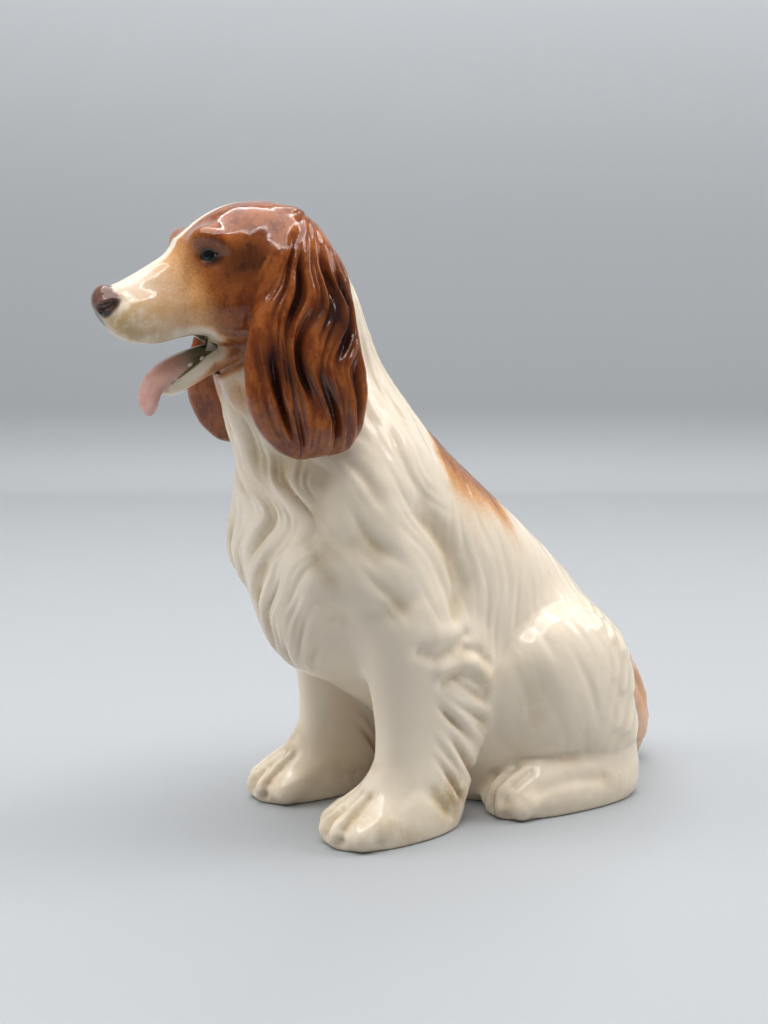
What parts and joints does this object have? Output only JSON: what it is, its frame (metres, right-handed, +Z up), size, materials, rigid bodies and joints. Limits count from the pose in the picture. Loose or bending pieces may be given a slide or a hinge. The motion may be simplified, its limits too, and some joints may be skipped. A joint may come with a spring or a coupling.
{
  "type": "ceramic dog figurine",
  "caption": "Seated long-eared spaniel figurine in glazed earthenware, cream with russet head, ears and saddle patch, mouth open and tongue out.",
  "frame": {"origin": "on the floor plane, under the middle of the figure's box", "axes": "+Z up; the dog faces -Y; its left side is +X; the long direction from nose to tail is Y"},
  "size_m": [0.0722, 0.1818, 0.1748],
  "materials": {
    "cream_glaze": "gloss",
    "russet_head_glaze": "gloss",
    "russet_ear_glaze": "gloss",
    "russet_tail_glaze": "gloss",
    "pink_glaze": "gloss"
  },
  "bodies": {
    "root": {"body_shell": "cream_glaze", "head_shell": "russet_head_glaze", "lower_jaw": "russet_head_glaze", "tongue": "pink_glaze", "left_ear": "russet_ear_glaze", "right_ear": "russet_ear_glaze", "left_foreleg": "cream_glaze", "right_foreleg": "cream_glaze", "left_hind_leg": "cream_glaze", "right_hind_leg": "cream_glaze", "tail": "russet_tail_glaze"}
  },
  "joints": []
}
